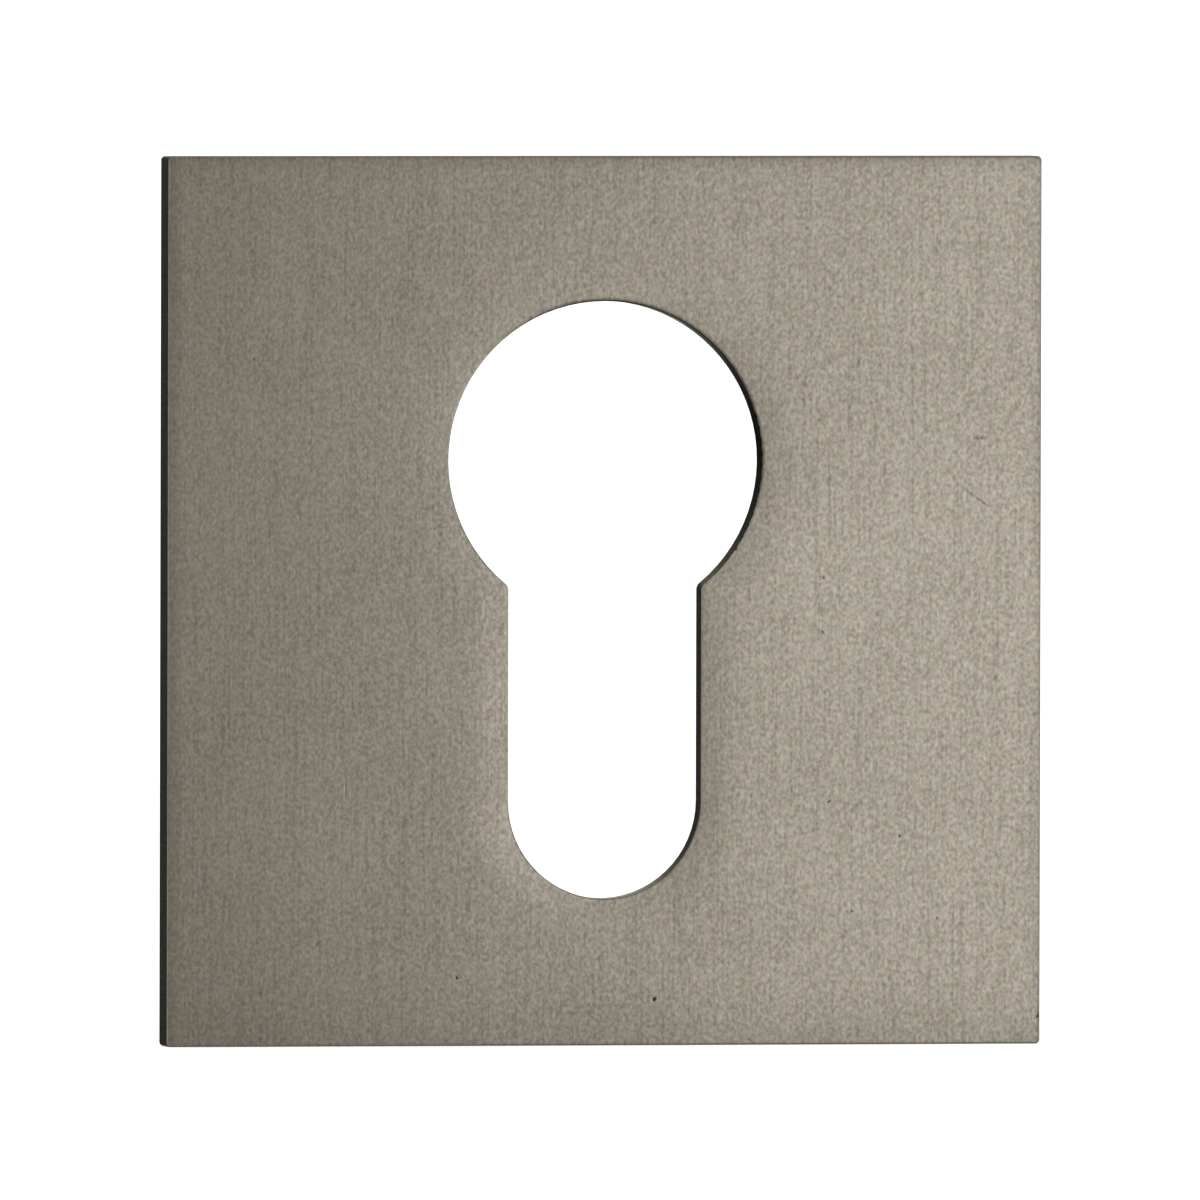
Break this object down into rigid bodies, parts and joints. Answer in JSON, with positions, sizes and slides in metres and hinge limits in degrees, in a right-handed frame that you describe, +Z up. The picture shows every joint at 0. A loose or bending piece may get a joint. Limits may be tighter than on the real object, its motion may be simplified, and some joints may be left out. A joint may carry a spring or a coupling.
{
  "type": "keyhole escutcheon",
  "caption": "Square flat escutcheon plate in satin metal with a profile-cylinder cut-out, a round opening over a narrower rounded slot, and a shallow recess in its back.",
  "frame": {"origin": "middle of the plate on the plane of the rim's seat, which meets the door", "axes": "+Z up along the cut-out, with its round end on top; +X right as seen from the front; +Y into the door, so the face looks towards -Y"},
  "size_m": [0.05, 0.0023, 0.05],
  "materials": {
    "satin_steel": "satin, fine vertical grain"
  },
  "bodies": {
    "root": {"escutcheon_plate": "satin_steel"}
  },
  "joints": []
}
